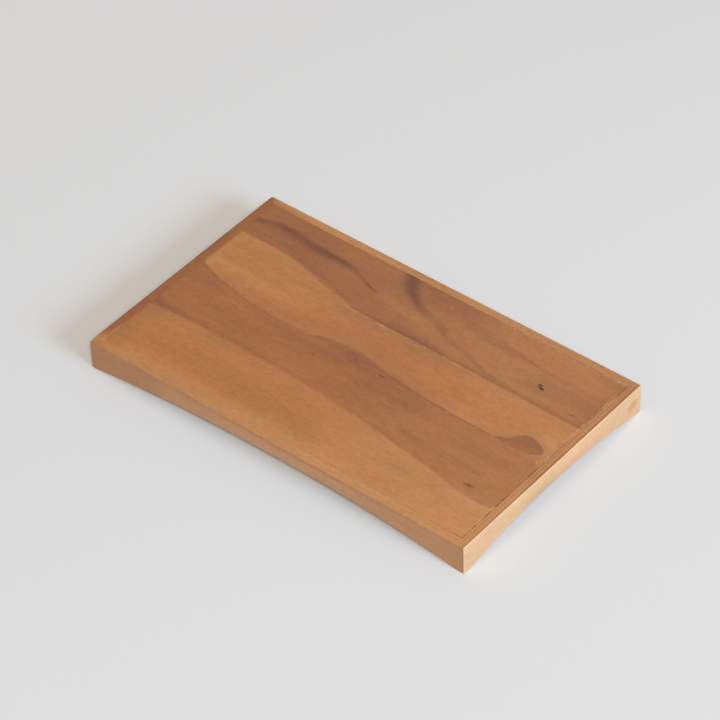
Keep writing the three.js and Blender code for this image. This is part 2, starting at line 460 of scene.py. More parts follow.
PANEL_END = 143.9
BACK_SEAM = 83.9
SHADED_END = -143.6
SHORT_SHADE = -141.4
LEAN = 1.2
BACK_GRAIN = (0, 0, 0)
HEART_RED = paint(161, 105, 70)
HEART_RED_PALE = paint(183, 124, 81)
SAP_TAN = paint(186, 127, 78)
SMOKE = paint(109, 71, 58)
DUSK = paint(141, 92, 67)
MOSS = paint(122, 88, 64)
FLAME = paint(178, 121, 73)
INK = paint(36, 24, 22)
END_SHADE_BROWN = paint(154, 100, 64)
GAP = paint(112, 69, 45)
PALE_CHIP_AND_GLINT = paint(203, 153, 108)

back_wood, tree, point = new_wood("back_board_heartwood")
along, across = figure = figure_of(tree, point, LEAN, wander=1.8)
paling = traced(tree, along, [(-144, 0), (-95, 0.05), (-62, 0.25), (-35, 0.15), (20, 0.45), (60, 0.9),
                              (144, 1)])
colour = lay(tree, paling, HEART_RED, HEART_RED_PALE)
# Streaks along the grain, the faint ones first and the long dark one at the left last.
colour = smoke(
    tree, point, figure, colour,
    (FLAME, 5.5, 7, [(-42, 58), (-15, 55), (5, 52.5), (25, 46.5), (60, 42)],
     [(-42, 0), (-10, 0.7), (10, 0.65), (30, 0.4), (60, 0)]),
    (DUSK, 11, 11, [(-8, 74), (20, 75), (60, 72)], [(-8, 0), (14, 0.4), (35, 0.3), (60, 0)]),
    (SMOKE, 4, 4, [(-12, 65), (0, 62), (8, 60.2), (14, 57.8), (20, 54.5), (27, 50.5), (36, 48.5)],
     [(-12, 0), (0, 0.1), (8, 0.18), (14, 0.24), (20, 0.12), (27, 0.12), (36, 0)]),
    (DUSK, 3, 10, [(-16, 83), (50, 84)], [(-16, 0), (5, 0.35), (30, 0.3), (50, 0)]),
    (DUSK, 2.2, 3, [(54, 68.5), (70, 66.6), (82, 64.8), (95, 63.8), (120, 62.8), (144, 62.6)],
     [(54, 0), (70, 0.45), (78, 0.45), (95, 0.3), (120, 0.22), (144, 0.15)]),
    (DUSK, 6, 9, [(82, 45), (101, 47), (122, 44)], [(82, 0), (101, 0.15), (122, 0)]),
    (DUSK, 18, 16, [(60, 52), (100, 53), (144, 52)], [(60, 0), (85, 0.1), (115, 0.35), (144, 0.36)]),
    (DUSK, 9, 8, [(28, 69), (50, 66), (78, 64)], [(28, 0), (46, 0.38), (62, 0.36), (78, 0)]),
    (DUSK, 3, 6, [(110, 81.5), (144, 79)], [(110, 0), (130, 0.25), (144, 0.35)]),
    (DUSK, 2.5, 4, [(22, 50.5), (40, 47.6), (50, 45), (60, 42), (76, 38)],
     [(22, 0), (35, 0.25), (50, 0.35), (60, 0.4), (76, 0)]),
    (DUSK, 5.5, 3, [(20, 37), (144, 36.5)], [(20, 0), (40, 0.3), (75, 0.35), (144, 0.35)]),
    (DUSK, 1.6, 3, [(-40, 36.2), (144, 36.1)],
     [(-40, 0), (-25, 0.3), (-10, 0.5), (15, 0.15), (40, 0.35), (100, 0.4), (144, 0.2)]),
    (SMOKE, [(-42, 0.8), (-24, 3), (-8, 7), (0, 8.5), (12, 8), (24, 7), (36, 4)], 3, [(-42, 36), (36, 36.1)],
     [(-42, 0), (-26, 0.2), (-5, 0.4), (10, 0.45), (21, 0.45), (28, 0.4), (36, 0)]),
    (DUSK, 4, 4, [(-114, 54.5), (-90, 51.5), (-65, 46), (-42, 40.5)],
     [(-114, 0), (-88, 0.15), (-66, 0.25), (-42, 0)]),
    (DUSK, 2, 2.5, [(-140, 57.5), (-112, 57.5), (-94, 55)], [(-140, 0), (-128, 0.4), (-108, 0.4), (-94, 0)]),
    (SMOKE, 5, 8, [(-144, 66.5), (-130, 68.5), (-115, 68.5), (-95, 67), (-60, 66), (-30, 56)],
     [(-144, 0.15), (-122, 0.35), (-95, 0.4), (-75, 0.34), (-58, 0.18), (-42, 0.12), (-30, 0)]),
    (SMOKE, [(-144, 3.6), (-68, 3.6), (-52, 2), (-34, 2.6)], [(-144, 5), (-68, 5), (-52, 3), (-34, 3)],
     [(-144, 66), (-138, 67.2), (-127, 70.9), (-117, 71), (-95, 68.4), (-86, 68), (-64, 67.3), (-56, 64.6),
      (-41, 58.8), (-34, 57)],
     [(-144, 0.2), (-140, 0.6), (-133, 0.4), (-122, 0.7), (-108, 0.42), (-98, 0.45), (-87, 0.66), (-66, 0.5),
      (-57, 0.3), (-49, 0.32), (-41, 0.75), (-34, 0)]))
# Across the grain: the shade at the right end, and the dark arc.
crossing = (across, along)
colour = smoke(
    tree, point, crossing, colour,
    (DUSK, 3, 13, [(36, 143), (84, 143.1)], [(36, 0.25), (45, 0.3), (62, 0.35), (70, 0.15), (84, 0.2)]),
    (SMOKE, 13, 12, [(55, 6), (60, -1), (65, -8.5), (70, -15), (75, -20), (80, -23), (85, -26)],
     [(55, 0), (60, 0.25), (66, 0.45), (76, 0.52), (85, 0.5)]),
    (SMOKE, 9, 8, [(58, 1), (62, -4), (66, -10), (70, -15.5), (75, -20), (80, -23), (85, -25.5)],
     [(58, 0), (62, 0.2), (67, 0.42), (76, 0.5), (85, 0.55)]))
sap_line = traced(tree, along, [(-144, 51.2), (-110, 50.5), (-95, 49.2), (-85, 47), (-65, 41.8), (-50, 39),
                                (-41, 37.2), (-34, 33), (144, 33)])
softness = traced(tree, along, [(-144, 1.4), (-105, 2.2), (-60, 3.4), (144, 3)])
colour = lay(tree, behind(tree, across, sap_line, softness), SAP_TAN, colour)
# Painted shade at the left end, beside the left rail.
colour = shaded_end(tree, along, colour, SHORT_SHADE, strength=0.8)
# The pale chips among these marks are partly painted glints.
colour = mark(
    tree, point, colour,
    (MOSS, (20, 54), 10, 6, 0.22, 50),
    (SMOKE, (-26, 83.5), 7.5, 2.2, 0.6, 0),
    (INK, (100.4, 51.6), 2.4, 1.1, 0.75, 8),
    (INK, (102.4, 49.4), 3.6, 1.3, 0.9, 10),
    (SMOKE, (131.8, 41.4), 3.8, 0.8, 0.55, 0),
    (PALE_CHIP_AND_GLINT, (127.5, 83.6), 3.4, 0.8, 0.7, 0),
    (PALE_CHIP_AND_GLINT, (138, 83.6), 5.5, 0.8, 0.8, 0),
    (PALE_CHIP_AND_GLINT, (12.5, 75), 1.5, 1.2, 0.3, 0))
colour = worn_seam(
    tree, point, colour, PANEL_END, along, across,
    [(36, 0.05), (68, 0), (76, 0.5), (84, 0.4)],
    [(36, 0.58), (44, 0.5), (66, 0.54), (72, 0.42), (76, 0.35), (84, 0.35)])
colour = worn_seam(
    tree, point, colour, BACK_SEAM, across, along,
    [(-144, 0), (40, 0.05), (60, 0.25), (144, 0.3)],
    [(-144, 0.3), (40, 0.36), (60, 0.5), (100, 0.44), (144, 0.54)])
oiled(tree, colour, point, BACK_GRAIN)
back_mesh = planed_board("back_board", (LEFT, RIGHT, BACK), (FRONT,))
back_board = finished("back_board_planed", back_mesh, back_wood)
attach(back_board, "root")
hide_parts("back_board")


# The middle board: pale sapwood, with a sliver of heartwood along its front edge that swells near its right
# end. It is glued between the two other boards and is tongued into the end rails.
SAP_PALE = paint(194, 133, 82)
SAP_DULL = paint(181, 119, 76)
SAP_OLIVE = paint(172, 120, 75)
SAP_BROWN = paint(175, 117, 71)
BULB_GREY = paint(152, 103, 78)
SAP_WORN = paint(210, 160, 112)
HEART_BROWN = paint(168, 109, 68)
UMBER = paint(146, 92, 67)
BACK_GLUE = 35.6
MIDDLE_GRAIN = (310, 0, 0)
RIM_DEPTH = 1.0
# A knot on the seam with the front board, so both boards show it.
SEAM_KNOT = (
    (UMBER, (-7.5, -0.4), 10, 6, 0.5, 0),
    (GAP, (-5.6, -0.7), 2.8, 1.6, 0.6, 0),
    (GAP, (17.0, -2.5), 3.2, 0.9, 0.75, 0))

middle_wood, tree, point = new_wood("middle_board_sapwood")
along, across = figure = figure_of(tree, point, LEAN, wander=1.2)
dulling = traced(tree, along, [(-144, 0), (-60, 0.4), (0, 1), (60, 0.6), (85, 0.35), (144, 0)])
sap_colour = lay(tree, dulling, SAP_PALE, SAP_DULL)
sap_colour = smoke(
    tree, point, figure, sap_colour,
    (SAP_BROWN, 14, 14, [(-138, 8), (-105, 5), (-80, 6), (-45, 8)],
     [(-138, 0.2), (-112, 1), (-75, 1), (-45, 0.2)]),
    (SAP_OLIVE, 3, 4, [(-144, 27), (-90, 24), (-40, 20)], [(-144, 0.1), (-100, 0.3), (-40, 0)]),
    (SAP_OLIVE, 4, 5, [(-108, 34), (-80, 34.5), (-50, 36), (-30, 36)],
     [(-108, 0), (-88, 0.6), (-52, 0.8), (-30, 0)]),
    (SAP_OLIVE, 9, 7, [(-45, 31), (0, 31.5), (50, 31)], [(-45, 0.2), (-12, 0.7), (20, 0.6), (50, 0)]),
    (SAP_OLIVE, 3, 4, [(-20, 25), (40, 22), (110, 20)], [(-20, 0), (30, 0.25), (80, 0.2), (110, 0)]))
heart_colour = smoke(
    tree, point, figure, HEART_BROWN,
    (UMBER, 6, 8, [(-44, 1), (-8, 1.5), (25, -1), (50, -2)],
     [(-44, 0), (-25, 0.35), (-8, 0.8), (8, 0.55), (30, 0.25), (50, 0)]),
    (UMBER, 9, 8, [(-144, 1), (-120, -1), (-104, -2)], [(-144, 0.45), (-125, 0.35), (-104, 0)]))
# The edge of the heartwood, with its low hump in the middle and the swelling at the right.
heart_line = [(-144, 14.4), (-140, 12.2), (-130, 8.4), (-110, 4.1), (-90, 0.8), (-60, -0.4), (-44, 0.4),
              (-37, 3.2), (-25, 5.4), (-15, 7), (-8, 7.2), (0, 5.9), (10, 3.9), (30, 1), (60, -1.3),
              (103, -2.6), (107, -0.9), (113, 1.5), (116, 5.6), (118, 7.8), (122, 9.9), (127, 10.1),
              (132, 8.9), (136, 7.2), (138, 5.2), (139, -1), (141, -3.2), (144, -3.3)]
softness = traced(tree, along, [(-144, 1.4), (-120, 2), (-80, 3), (-50, 4), (-30, 2.6), (20, 3.4), (60, 2.4),
                                (104, 1.8), (144, 1.6)])
colour = lay(tree, behind(tree, across, traced(tree, along, heart_line), softness), heart_colour, sap_colour)
rim_line = [(place, height - RIM_DEPTH) for place, height in heart_line]
colour = smoke(
    tree, point, figure, colour,
    (UMBER, 1.2, 3.2, rim_line,
     [(-144, 0.5), (-110, 0.4), (-70, 0.2), (-50, 0), (-35, 0.3), (-18, 0.2), (20, 0.3), (60, 0.5),
      (100, 0.5), (112, 0.6), (126, 0.6), (136, 0.5), (139, 0.15), (141, 0)]),
    (BULB_GREY, 5, 6, [(108, 0), (116, 3), (124, 5.5), (132, 5), (138, 3)],
     [(108, 0), (117, 0.45), (128, 0.5), (136, 0.4), (138, 0)]))
seam_line = traced(tree, along, [(-144, 38.5), (-40, 38), (-28, 36.2), (-10, 35.5), (20, 35), (60, 34.9),
                                 (100, 34.6), (144, 34.3)])
colour = lay(tree, behind(tree, across, seam_line, softness=2.0), colour, HEART_BROWN)
colour = smoke(
    tree, point, figure, colour,
    (UMBER, 1, 1.8, [(-34, 36.4), (25, 36.2)], [(-34, 0), (-20, 0.4), (-8, 0.6), (10, 0.3), (25, 0)]))
# Painted shade at the left end, beside the left rail.
colour = shaded_end(tree, along, colour, SHORT_SHADE, strength=0.8)
# A pale wedge and a rubbed patch at the right end.
colour = smoke(
    tree, point, figure, colour,
    (SAP_PALE, 1.6, 5, [(131, -3.4), (135, -1.2), (139.5, 1.2), (144, 2)],
     [(131, 0), (135, 0.8), (139, 1), (144, 1)]),
    (SAP_WORN, 7, 9, [(124, 16), (134, 14), (144, 8)],
     [(124, 0), (131, 0.2), (138, 0.4), (142, 0.4), (144, 0.3)]))
colour = mark(
    tree, point, colour, *SEAM_KNOT,
    (SAP_WORN, (48, 34.2), 6, 0.8, 0.5, 0),
    (SAP_WORN, (79.5, 26.6), 1.1, 0.9, 0.45, 0),
    (SAP_WORN, (90, 13.5), 1.1, 0.9, 0.35, 0),
    (SAP_WORN, (128.5, 31.5), 1.6, 0.9, 0.4, 0),
    (SAP_WORN, (16.5, 33), 1.5, 0.9, 0.4, 0),
    (SAP_WORN, (-41, 35), 6, 0.9, 0.4, 0))
colour = worn_seam(
    tree, point, colour, PANEL_END, along, across,
    [(-3, 0.45), (6, 0.4), (22, 0.35), (25, 0.15), (36, 0.15)],
    [(-3, 0.56), (5, 0.5), (9, 0.4), (20, 0.42), (25, 0.66), (36, 0.62)])
square_across = axis(tree, point, "Y")
colour = worn_seam(
    tree, point, colour, BACK_GLUE, square_across, along, 0.0,
    [(-144, 0.3), (-75, 0.32), (-45, 0.44), (-15, 0.43), (15, 0.38), (45, 0.42), (70, 0.34), (144, 0.32)])
oiled(tree, colour, point, MIDDLE_GRAIN)
middle_mesh = planed_board("middle_board", (LEFT, RIGHT), (FRONT, BACK))
middle_board = finished("middle_board_planed", middle_mesh, middle_wood)
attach(middle_board, "root")
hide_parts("middle_board")


# The front board: the widest, heartwood behind and sapwood in front, with the line between them wandering
# slowly along the grain. It is glued to the middle board and tongued into the front and end rails.
FRONT_GLUE = -2.5
LONG_SHADE = -124
SEAM_SHADE = -141.8
FRONT_GRAIN = (640, 0, 0)
HEART_BROWN_PALE = paint(177, 121, 78)
SAP_WARM = paint(183, 122, 73)
SAP_GOLD = paint(198, 140, 91)
SAP_ASH = paint(184, 132, 87)
SAP_RUBBED = paint(193, 136, 87)

front_wood, tree, point = new_wood("front_board_mixed")
along, across = figure = figure_of(tree, point, LEAN, wander=1.8)
paling = traced(tree, along, [(-144, 0), (-20, 0.05), (70, 0.6), (144, 1)])
sap_colour = lay(tree, paling, SAP_WARM, SAP_GOLD)
sap_colour = smoke(
    tree, point, figure, sap_colour,
    (SAP_OLIVE, 8, 9, [(-60, -60), (-30, -63), (20, -66)], [(-60, 0), (-35, 0.35), (20, 0)]),
    (SAP_OLIVE, 3, 4, [(-100, -64), (-75, -64), (-50, -65)], [(-100, 0), (-75, 0.2), (-50, 0)]),
    (SAP_BROWN, 14, 14, [(-144, -54), (-80, -55)], [(-144, 0.5), (-112, 0.5), (-80, 0)]),
    (SAP_ASH, 12, 13, [(36, -56), (70, -57), (110, -60)], [(36, 0), (60, 0.7), (85, 0.7), (110, 0)]),
    (SAP_RUBBED, 13, 3, [(-144, -84), (144, -84.1)],
     [(-144, 0.4), (-100, 0.5), (-20, 0.85), (20, 1), (60, 0.9), (100, 0.4), (144, 0)]))
heart_colour = lay(tree, paling, HEART_BROWN, HEART_BROWN_PALE)
heart_colour = smoke(
    tree, point, figure, heart_colour,
    (UMBER, 6, 5, [(-144, -34), (-120, -35.5), (-100, -35)],
     [(-144, 0.9), (-128, 0.6), (-112, 0.3), (-100, 0)]),
    (UMBER, 3, 4, [(-110, -34), (-70, -35), (-20, -35), (0, -35.5), (30, -37)],
     [(-110, 0.2), (-72, 0.4), (-30, 0.25), (5, 0.1), (30, 0)]),
    (UMBER, 6, 9, [(-40, -1), (-8, -1), (25, -3), (50, -3)],
     [(-40, 0), (-18, 0.5), (-5, 0.75), (8, 0.55), (50, 0)]),
    (UMBER, 7, 7, [(-10, -14), (20, -14), (80, -12)], [(-10, 0), (10, 0.3), (35, 0.4), (80, 0)]),
    (UMBER, 4, 6, [(-60, -5.5), (-20, -7), (40, -6), (130, -7)],
     [(-60, 0), (-42, 0.3), (-15, 0.35), (5, 0.05), (28, 0.2), (50, 0.35), (68, 0.05), (90, 0.2), (112, 0.25),
      (124, 0.3), (130, 0)]),
    (UMBER, 3, 4, [(35, -40), (50, -42), (66, -44)], [(35, 0), (50, 0.3), (66, 0)]),
    (UMBER, 5, 6, [(50, -31), (68, -34), (84, -35)], [(50, 0), (68, 0.4), (84, 0)]),
    (UMBER, 6, 6, [(84, -33), (105, -34.5), (122, -34)], [(84, 0), (106, 0.4), (122, 0)]),
    (UMBER, 13, 13, [(75, -18), (105, -20), (138, -20)], [(75, 0), (95, 0.2), (118, 0.2), (138, 0)]),
    (SAP_WARM, 5, 4, [(0, -36), (22, -36.5), (45, -38)], [(0, 0), (20, 0.4), (45, 0)]),
    (UMBER, 7, 6, [(-144, -2), (-120, -3), (-104, -3.5)], [(-144, 0.4), (-125, 0.3), (-104, 0)]),
    (UMBER, 1, 2, [(20, -2.5), (144, -2.6)], [(20, 0), (60, 0.5), (105, 0.6), (130, 0.3), (144, 0)]))
# The edge between the heartwood behind and the sapwood in front.
heart_line = traced(tree, along, [(-144, -40.3), (-132, -37.8), (-115, -36.8), (-80, -36), (-50, -36.5),
                                  (0, -38.5), (40, -41.6), (60, -44.8), (90, -49), (108, -52.3), (120, -54.2),
                                  (128, -54.6), (144, -51.5)])
softness = traced(tree, along, [(-144, 1.4), (-115, 2.2), (-60, 5), (0, 4.5), (60, 3), (100, 2), (144, 1.4)])
colour = lay(tree, behind(tree, across, heart_line, softness), sap_colour, heart_colour)
colour = smoke(
    tree, point, figure, colour,
    (SAP_GOLD, 4, 3, [(132, -1.5), (138, -2.2), (144, -4)], [(132, 0), (136, 0.75), (144, 0.9)]))
# Painted shade at the left end: a broad faint one, and a narrow one beside the rail that fades out to the
# front.
colour = shaded_end(tree, along, colour, LONG_SHADE, strength=0.25)
seam_strength = traced(tree, across, [(-84, 0), (-72, 0.1), (-62, 0.6), (-2, 0.6)])
colour = shaded_end(tree, along, colour, SEAM_SHADE, seam_strength)
colour = mark(
    tree, point, colour, *SEAM_KNOT,
    (SMOKE, (-29.8, -12.8), 2.0, 1.0, 0.3, 45),
    (UMBER, (-98, -8.6), 1.6, 1.1, 0.6, 30),
    (UMBER, (119.3, -45.8), 6, 2.6, 0.6, 0),
    (GAP, (119.7, -46), 2.4, 1.2, 0.76, 8),
    (SAP_WORN, (-66, -66.5), 1.1, 0.9, 0.35, 0),
    (SAP_WORN, (140.5, -5.5), 1.6, 1.1, 0.7, 20),
    (SAP_WORN, (-61, -83), 1.8, 0.8, 0.35, 0),
    (SAP_WORN, (-35, -82.6), 4, 0.9, 0.35, 0),
    (SAP_WORN, (-143.7, -72), 0.9, 5, 0.25, 0),
    (SAP_WORN, (-143.6, -83), 1.2, 1.2, 0.7, 0))
colour = worn_seam(
    tree, point, colour, PANEL_END, along, across,
    [(-84, 0.8), (-71, 0.85), (-66, 0.4), (-60, 0.85), (-53, 0.5), (-46, 0.85), (-39, 0.7), (-32, 0.3),
     (-23, 0.3), (-18, 0.6), (-6, 0.6), (-2, 0.4)],
    [(-84, 0.36), (-71, 0.4), (-68, 0.66), (-64, 0.64), (-60, 0.4), (-55, 0.5), (-53, 0.68), (-50, 0.38),
     (-30, 0.38), (-8, 0.4), (-2, 0.54)])
colour = smoke(
    tree, point, figure, colour,
    (GAP, 0.8, 0.8, [(108, -83.9), (144, -84)], [(108, 0), (125, 0.2), (136, 0.4), (144, 0.6)]))
square_across = axis(tree, point, "Y")
colour = worn_seam(
    tree, point, colour, FRONT_GLUE, square_across, along, 0.0,
    [(-144, 0.3), (15, 0.34), (32, 0.44), (65, 0.44), (90, 0.38), (130, 0.35), (144, 0.34)])
oiled(tree, colour, point, FRONT_GRAIN, lines=0.045)
front_mesh = planed_board("front_board", (LEFT, RIGHT, FRONT), (BACK,))
front_board = finished("front_board_planed", front_mesh, front_wood)
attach(front_board, "root")
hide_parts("front_board")


# The rails: four thin strips of the same timber round the panel, mitred at the corners and arched underneath,
# so that the tray stands on its corners and fingers reach under it. A groove inside holds the panel's tongue,
# and each mitre has a slot for a loose spline.
RAIL_THICKNESS = 6.0 * MILLIMETRE
FOOT_LENGTH = 4.0 * MILLIMETRE
LONG_ARCH_RISE = 10.4 * MILLIMETRE
FRONT_ARCH_RISE = 10.8 * MILLIMETRE
FRONT_ARCH_CROWN = 8.0 * MILLIMETRE
FRONT_ARCH_FULLNESS = 2.2
SHORT_ARCH_RISE = 8.6 * MILLIMETRE
ARCH_CUTS = 47
GROOVE_PLAY = 0.15 * MILLIMETRE
GROOVE_DEPTH = 2.85 * MILLIMETRE
CORNER_RADIUS = 1.0 * MILLIMETRE
RUBBED_CORNER_RADIUS = 2.0 * MILLIMETRE
WORN_CORNER_RADIUS = 1.4 * MILLIMETRE
SOFT_ARRIS = 0.8 * MILLIMETRE
CRISP_ARRIS = 0.6 * MILLIMETRE
SEAM_ARRIS = 0.05 * MILLIMETRE
FOOT_ARRIS = 0.5 * MILLIMETRE
HALF_MITRE_GLUE = 0.01 * MILLIMETRE
RUBBED_REACH = 7.0 * MILLIMETRE
RUBBED_DEPTH = 3.0 * MILLIMETRE
RUBBED_TOP = 1.5 * MILLIMETRE
RUBBED_FOOT = 1.0 * MILLIMETRE
SLOT_DEPTH = 1.15 * MILLIMETRE
SLOT_WIDTH = 4.5 * MILLIMETRE
SLOT_COVER = 1.45 * MILLIMETRE
SLOT_BOTTOM = 1.85 * MILLIMETRE
SLOT_TOP = 15.5 * MILLIMETRE
RAIL_HEIGHT = cad_high.z - cad_low.z
LONG_RAIL = cad_high.x - cad_low.x
SHORT_RAIL = cad_high.y - cad_low.y
GROOVE_TOP = RAIL_HEIGHT - TONGUE_COVER + GROOVE_PLAY
GROOVE_BOTTOM = GROOVE_TOP - TONGUE_THICKNESS - 2 * GROOVE_PLAY


def arched_bar(length, rise, crown, fullness):
    """A square bar along x, its outer face at y = 0, its feet at z = 0 and its underside cut to an arch."""
    bar = bmesh.new()
    bmesh.ops.create_cube(bar, size=1)
    bmesh.ops.scale(bar, vec=(length, RAIL_THICKNESS, RAIL_HEIGHT), verts=bar.verts)
    bmesh.ops.translate(bar, vec=(0, RAIL_THICKNESS / 2, RAIL_HEIGHT / 2), verts=bar.verts)
    bar.normal_update()
    half_span = length / 2 - FOOT_LENGTH
    for end in (LEFT, RIGHT):
        score(bar, bar.faces[:], end * half_span, end)
    lengthwise = [edge for edge in bar.edges if edge.calc_length() > half_span]
    bmesh.ops.subdivide_edges(bar, edges=lengthwise, cuts=ARCH_CUTS, use_grid_fill=True)
    for corner in bar.verts:
        if corner.co.z < TOUCHING and abs(corner.co.x) < half_span:
            from_crown = corner.co.x - crown
            reach = half_span - math.copysign(crown, crown * from_crown)
            corner.co.z = rise * (1 - (abs(from_crown) / reach) ** fullness)
    bar.normal_update()
    return bar


def rim(mesh, way):
    """The edges where a face that looks up, or down, meets an upright one."""
    found = []
    for edge in mesh.edges:
        normals = [face.normal for face in edge.link_faces]
        meets_flat = any(normal.dot(way) > ROUGHLY for normal in normals)
        meets_upright = any(abs(normal.z) < 1 - ROUGHLY for normal in normals)
        if meets_flat and meets_upright:
            found.append(edge)
    return found


def cut_mitre(bar, length, end):
    """Saw one end of a bar to 45 degrees and sink the spline's slot into the new face."""
    facing = (end + BACK).normalized()
    inwards = (BACK - end).normalized()
    whole = bar.verts[:] + bar.edges[:] + bar.faces[:]
    sawn = bmesh.ops.bisect_plane(bar, geom=whole, dist=TOUCHING, plane_no=facing, clear_outer=True,
                                  plane_co=end * length / 2 - facing * HALF_MITRE_GLUE)["geom_cut"]
    outline = [part for part in sawn if isinstance(part, bmesh.types.BMEdge)]
    bmesh.ops.holes_fill(bar, edges=outline, sides=0)
    bar.normal_update()
    slot_near = end * (length / 2 - RAIL_THICKNESS) + BACK * RAIL_THICKNESS - inwards * SLOT_COVER
    slot_far = slot_near - inwards * SLOT_WIDTH
    for side in (slot_near, slot_far):
        score(bar, looking(bar, facing), side, inwards)
    slot = []
    for face in band_between(bar, facing, SLOT_BOTTOM, SLOT_TOP):
        reach = face.calc_center_median().dot(inwards)
        if slot_far.dot(inwards) < reach < slot_near.dot(inwards):
            slot.append(face)
    pull(bar, slot, facing * -SLOT_DEPTH)


def mitred_rail(length, rise, start_radius, end_radius, arris, place, crown=0.0, fullness=2.0):
    """A rail: the arched bar with its edges eased, its groove ploughed and its ends mitred, in its place."""
    rail = arched_bar(length, rise, crown, fullness)
    ease(rail, edges_between(rail, LEFT, FRONT), start_radius, segments=8)
    ease(rail, edges_between(rail, RIGHT, FRONT), end_radius, segments=8)
    seam = edges_between(rail, UP, BACK)
    ease(rail, [edge for edge in rim(rail, UP) if edge not in seam], arris, segments=4)
    ease(rail, edges_between(rail, UP, BACK), SEAM_ARRIS, segments=2)
    ease(rail, rim(rail, DOWN), FOOT_ARRIS, segments=3)
    groove = band_between(rail, BACK, GROOVE_BOTTOM, GROOVE_TOP)
    pull(rail, groove, FRONT * GROOVE_DEPTH)
    for end in (LEFT, RIGHT):
        cut_mitre(rail, length, end)
    bmesh.ops.transform(rail, matrix=place, verts=rail.verts)
    return rail


def rub_corner(rail, corner):
    """Wear down a rail's top and foot near a corner of the tray, as knocks and hands do."""
    for vertex in rail.verts:
        reach = (vertex.co.xy - corner.xy).length
        nearness = max(0.0, 1 - reach / RUBBED_REACH) ** 2
        sinking = RUBBED_TOP * max(0.0, 1 - (RAIL_HEIGHT - vertex.co.z) / RUBBED_DEPTH)
        lifting = RUBBED_FOOT * max(0.0, 1 - vertex.co.z / RUBBED_DEPTH)
        vertex.co.z += nearness * (lifting - sinking)
    rail.normal_update()


def rail_place(side, turn):
    """Where a rail's own frame lies on the tray: the middle of that side's outer edge, turned to face in."""
    reach = Vector((side.x * LONG_RAIL / 2, side.y * SHORT_RAIL / 2, 0))
    return Matrix.Translation(reach) @ Matrix.Rotation(math.radians(turn), 4, "Z")


def new_rail_wood(name, place):
    """Start a rail's wood, with its figure along the rail and in from its outer face."""
    material, tree, point = new_wood(name, place.inverted())
    along, depth = figure_of(tree, point, lean=0.0, wander=0.3)
    return material, tree, point, along, depth


RAIL_TAN = paint(190, 133, 85)
RAIL_GOLD = paint(201, 141, 91)
RAIL_ROSE = paint(193, 137, 93)
OUTSIDE_RED = paint(174, 120, 78)
OUTSIDE_GREY = paint(192, 139, 96)
OUTSIDE_CREAM = paint(214, 170, 126)
CREAM_DARK = paint(196, 145, 99)
PAINTED_HIGHLIGHT_CREAM = paint(224, 188, 148)
KNOT_TAN = paint(196, 145, 98)
RAIL_BROWN = paint(159, 102, 64)
RAIL_UMBER = paint(132, 82, 52)
RAIL_LINE = paint(156, 98, 60)
BACK_RAIL_TAN = paint(190, 133, 88)
BACK_RAIL_GOLD = paint(192, 135, 86)

# The front rail: tan to gold on top, redder and then greyer outside, and worn down at its left end.
FRONT_RAIL_GRAIN = (0, 200, 0)
FRONT_ARRIS_BLEND = (0.25, 0.9)
FRONT_BROWN_END = (-150, -116)
FRONT_CORNER_HIGHLIGHT = (149.4, 149.8)
front_place = rail_place(FRONT, 0)
front_rail_wood, tree, point, along, depth = new_rail_wood("front_rail_wood", front_place)
height = axis(tree, point, "Z")
paling = traced(tree, along, [(-150, 0), (-90, 0.1), (-40, 0.15), (0, 0.4), (60, 0.9), (110, 0.6),
                              (150, 0.5)])
top_colour = lay(tree, paling, RAIL_TAN, RAIL_GOLD)
top_colour = lay(tree, fade(tree, along, *FRONT_BROWN_END, low=0.4, high=0.0), top_colour, SAP_BROWN)
greying = traced(tree, along, [(-150, 0), (-110, 0.2), (-60, 0.8), (40, 1), (90, 0.7), (150, 0.6)])
outside = lay(tree, greying, OUTSIDE_RED, OUTSIDE_GREY)
outside = smoke(
    tree, point, (along, height), outside,
    (OUTSIDE_RED, 2.5, 2.5, [(-150, 21), (150, 20)], [(-150, 0.2), (-60, 0.8), (60, 0.7), (150, 0.3)]),
    (RAIL_LINE, 0.5, 0.6, [(-120, 18.5), (-60, 17.5), (0, 18), (60, 18.5)],
     [(-120, 0), (-50, 0.25), (20, 0.2), (60, 0)]),
    (RAIL_LINE, 0.5, 0.6, [(60, 16), (110, 14), (150, 15)], [(60, 0), (110, 0.25), (150, 0.1)]))
colour = lay(tree, fade(tree, depth, *FRONT_ARRIS_BLEND), outside, top_colour)
# Painted shade: a thin dark line down the outer face, just beside the rounded right corner.
colour = smoke(
    tree, point, (depth, along), colour,
    (RAIL_LINE, 0.6, 1.2, [(-1, 148.9), (0.6, 149)], [(-1, 0.5), (0.2, 0.4), (0.6, 0)]))
# Painted highlight: a pale line down the rounded right corner, where the window's light catches it.
colour = lay(tree, fade(tree, along, *FRONT_CORNER_HIGHLIGHT), colour, PAINTED_HIGHLIGHT_CREAM)
oiled(tree, colour, point, FRONT_RAIL_GRAIN)
front_rail_mesh = mitred_rail(
    LONG_RAIL, FRONT_ARCH_RISE, WORN_CORNER_RADIUS, CORNER_RADIUS, SOFT_ARRIS, front_place,
    crown=FRONT_ARCH_CROWN, fullness=FRONT_ARCH_FULLNESS)
front_left_corner = Vector((cad_low.x, cad_low.y, 0))
rub_corner(front_rail_mesh, front_left_corner)
front_rail = finished("front_rail_mitred", front_rail_mesh, front_rail_wood)

